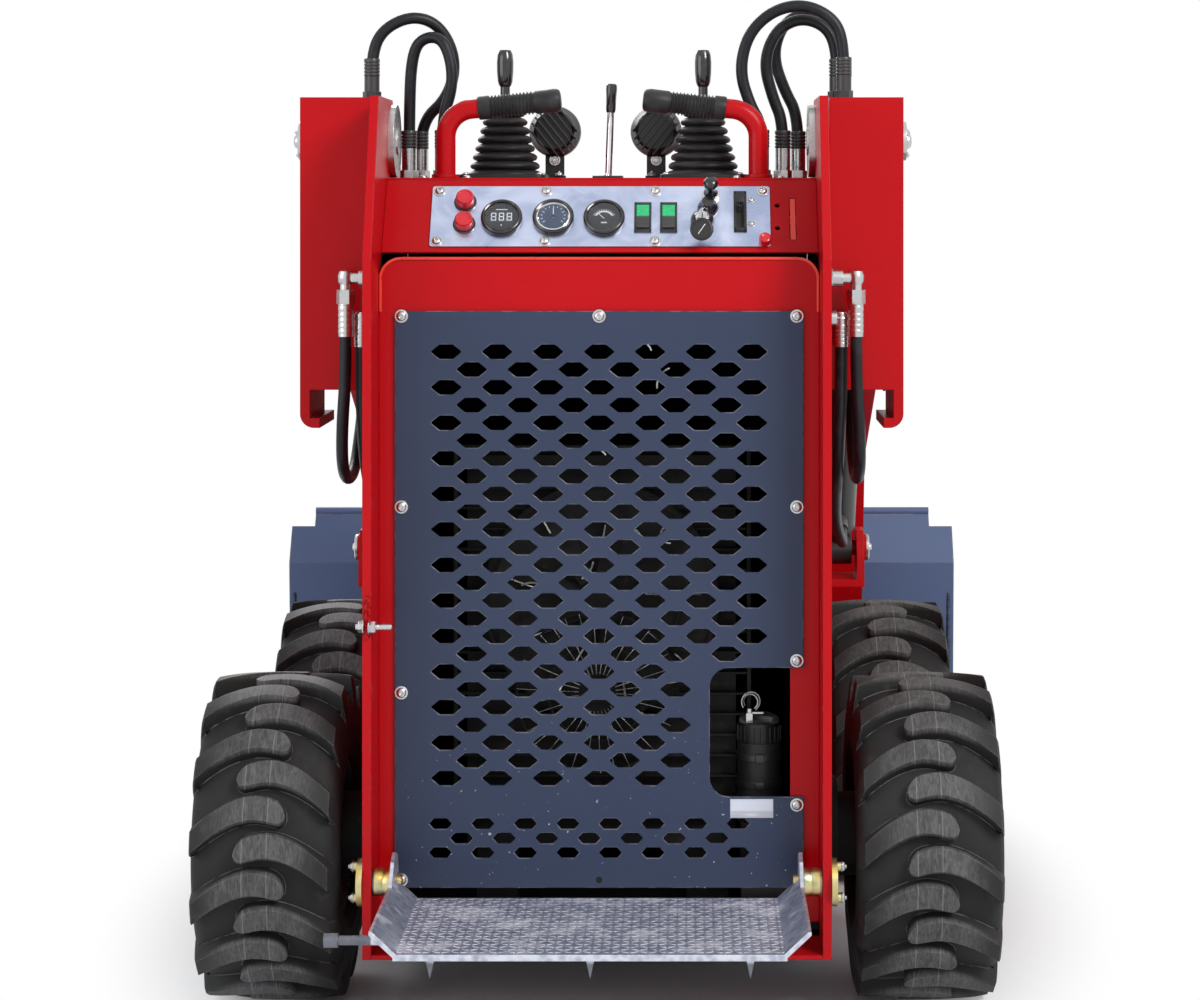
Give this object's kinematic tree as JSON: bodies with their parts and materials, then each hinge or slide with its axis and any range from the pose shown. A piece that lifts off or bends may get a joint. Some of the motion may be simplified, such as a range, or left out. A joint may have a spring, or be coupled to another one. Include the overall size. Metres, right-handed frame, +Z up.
{
  "type": "mini wheel loader",
  "caption": "Stand-on mini wheel loader with radial lift arms, a bucket, a folding rear footboard, a perforated rear grille and a hand-lever console.",
  "frame": {"origin": "on the ground at the middle of the machine's width and length", "axes": "+X to the machine's right, +Y forward to the bucket, +Z up"},
  "size_m": [1.22, 1.97, 1.4086],
  "materials": {
    "red_paint": "gloss",
    "slate_paint": "satin",
    "zinc": "zinc plated",
    "bare_steel": "worn",
    "panel_aluminium": "brushed",
    "label_white": "matte",
    "black_plastic": "moulded",
    "red_plastic": "gloss",
    "black_rubber": "matte",
    "hose_rubber": "matte",
    "tyre": "matte",
    "rim_paint": "satin",
    "cylinder_paint": "satin",
    "chrome_rod": "polished",
    "engine_dark": "satin"
  },
  "bodies": {
    "root": {"blank_label": "label_white", "board_pivots": "zinc", "chassis_floor": "red_paint", "chassis_unions": "zinc", "console": "red_paint", "control_levers": "black_plastic", "deck_plate": "red_paint", "engine_block": "engine_dark", "front_hood": "red_paint", "fuel_filler": "black_plastic", "gauges": "black_plastic", "grab_handles": "red_paint", "grille": "slate_paint", "grille_bolts": "zinc", "handle_grips": "black_rubber", "hose_arm_left": "hose_rubber", "hose_arm_right_a": "hose_rubber", "hose_arm_right_b": "hose_rubber", "hose_arm_right_c": "hose_rubber", "hose_deck_left": "hose_rubber", "hose_lower_lift_left": "hose_rubber", "hose_lower_lift_right": "hose_rubber", "hose_upper_lift_left": "hose_rubber", "hose_upper_lift_right": "hose_rubber", "instrument_panel": "panel_aluminium", "joystick_boots": "black_rubber", "lift_brackets": "red_paint", "panel_controls": "black_plastic", "panel_switches": "red_plastic", "pivot_pins": "zinc", "rear_cover": "red_paint", "side_plate_left": "red_paint", "side_plate_right": "red_paint", "wheel_motors": "engine_dark", "work_lamps": "black_plastic"},
    "wheel_rear_right": {"rim_rear_right": "rim_paint", "tyre_rear_right": "tyre"},
    "wheel_rear_left": {"rim_rear_left": "rim_paint", "tyre_rear_left": "tyre"},
    "wheel_front_right": {"rim_front_right": "rim_paint", "tyre_front_right": "tyre"},
    "wheel_front_left": {"rim_front_left": "rim_paint", "tyre_front_left": "tyre"},
    "lift_arms": {"arm_right": "red_paint", "arm_left": "red_paint", "arm_cross_tubes": "red_paint", "arm_unions": "zinc"},
    "lift_cylinder_right": {"lift_barrel_right": "cylinder_paint"},
    "lift_piston_right": {"lift_rod_right": "chrome_rod"},
    "lift_cylinder_left": {"lift_barrel_left": "cylinder_paint"},
    "lift_piston_left": {"lift_rod_left": "chrome_rod"},
    "tilt_cylinder": {"tilt_barrel": "cylinder_paint"},
    "tilt_piston": {"tilt_rod": "chrome_rod"},
    "bucket_assembly": {"attach_plate": "slate_paint", "bucket": "slate_paint", "cutting_edge": "bare_steel"},
    "footboard_platform": {"footboard": "bare_steel"}
  },
  "joints": [
    {"name": "wheel_rear_right_spin", "type": "hinge", "parent": "root", "child": "wheel_rear_right", "pos_m": [0, -0.543, 0.225], "axis": [1, 0, 0], "continuous": true},
    {"name": "wheel_rear_left_spin", "type": "hinge", "parent": "root", "child": "wheel_rear_left", "pos_m": [0, -0.543, 0.225], "axis": [1, 0, 0], "continuous": true},
    {"name": "wheel_front_right_spin", "type": "hinge", "parent": "root", "child": "wheel_front_right", "pos_m": [0, 0.137, 0.225], "axis": [1, 0, 0], "continuous": true},
    {"name": "wheel_front_left_spin", "type": "hinge", "parent": "root", "child": "wheel_front_left", "pos_m": [0, 0.137, 0.225], "axis": [1, 0, 0], "continuous": true},
    {"name": "lift", "type": "hinge", "parent": "root", "child": "lift_arms", "pos_m": [0, -0.495, 1.205], "axis": [1, 0, 0], "range_deg": [0, 72], "deforming": ["hose_arm_left", "hose_arm_right_a", "hose_arm_right_b", "hose_arm_right_c", "hose_lower_lift_left", "hose_lower_lift_right", "hose_upper_lift_left", "hose_upper_lift_right"]},
    {"name": "lift_cylinder_right_swing", "type": "hinge", "parent": "root", "child": "lift_cylinder_right", "pos_m": [0.364, -0.038, 0.563], "axis": [1, 0, 0], "range_deg": [-23.1, 1]},
    {"name": "lift_piston_right_stroke", "type": "slide", "parent": "lift_cylinder_right", "child": "lift_piston_right", "axis": [0, -0.5629, 0.8265], "range_m": [-0.004, 0.2922]},
    {"name": "lift_cylinder_left_swing", "type": "hinge", "parent": "root", "child": "lift_cylinder_left", "pos_m": [-0.364, -0.038, 0.563], "axis": [1, 0, 0], "range_deg": [-23.1, 1]},
    {"name": "lift_piston_left_stroke", "type": "slide", "parent": "lift_cylinder_left", "child": "lift_piston_left", "axis": [0, -0.5629, 0.8265], "range_m": [-0.004, 0.2922]},
    {"name": "bucket_tilt", "type": "hinge", "parent": "lift_arms", "child": "bucket_assembly", "pos_m": [0, 0.479, 0.15], "axis": [1, 0, 0], "range_deg": [-110, 20]},
    {"name": "tilt_cylinder_swing", "type": "hinge", "parent": "lift_arms", "child": "tilt_cylinder", "pos_m": [0, 0.151, 0.67], "axis": [1, 0, 0], "range_deg": [-1.8, 1.1]},
    {"name": "tilt_piston_stroke", "type": "slide", "parent": "tilt_cylinder", "child": "tilt_piston", "axis": [0, 0.6201, -0.7845], "range_m": [-0.0352, 0.1758]},
    {"name": "footboard_fold", "type": "hinge", "parent": "root", "child": "footboard_platform", "pos_m": [0, -0.713, 0.2], "axis": [-1, 0, 0], "range_deg": [0, 85]}
  ],
  "couplings": [
    {"joint": "lift_cylinder_right_swing", "follows": "lift", "ratio": -0.30705},
    {"joint": "lift_piston_right_stroke", "follows": "lift", "m_per_rad": 0.22938},
    {"joint": "lift_cylinder_left_swing", "follows": "lift", "ratio": -0.30705},
    {"joint": "lift_piston_left_stroke", "follows": "lift", "m_per_rad": 0.22938},
    {"joint": "tilt_cylinder_swing", "follows": "bucket_tilt", "ratio": 0.007408},
    {"joint": "tilt_piston_stroke", "follows": "bucket_tilt", "m_per_rad": -0.089488}
  ]
}
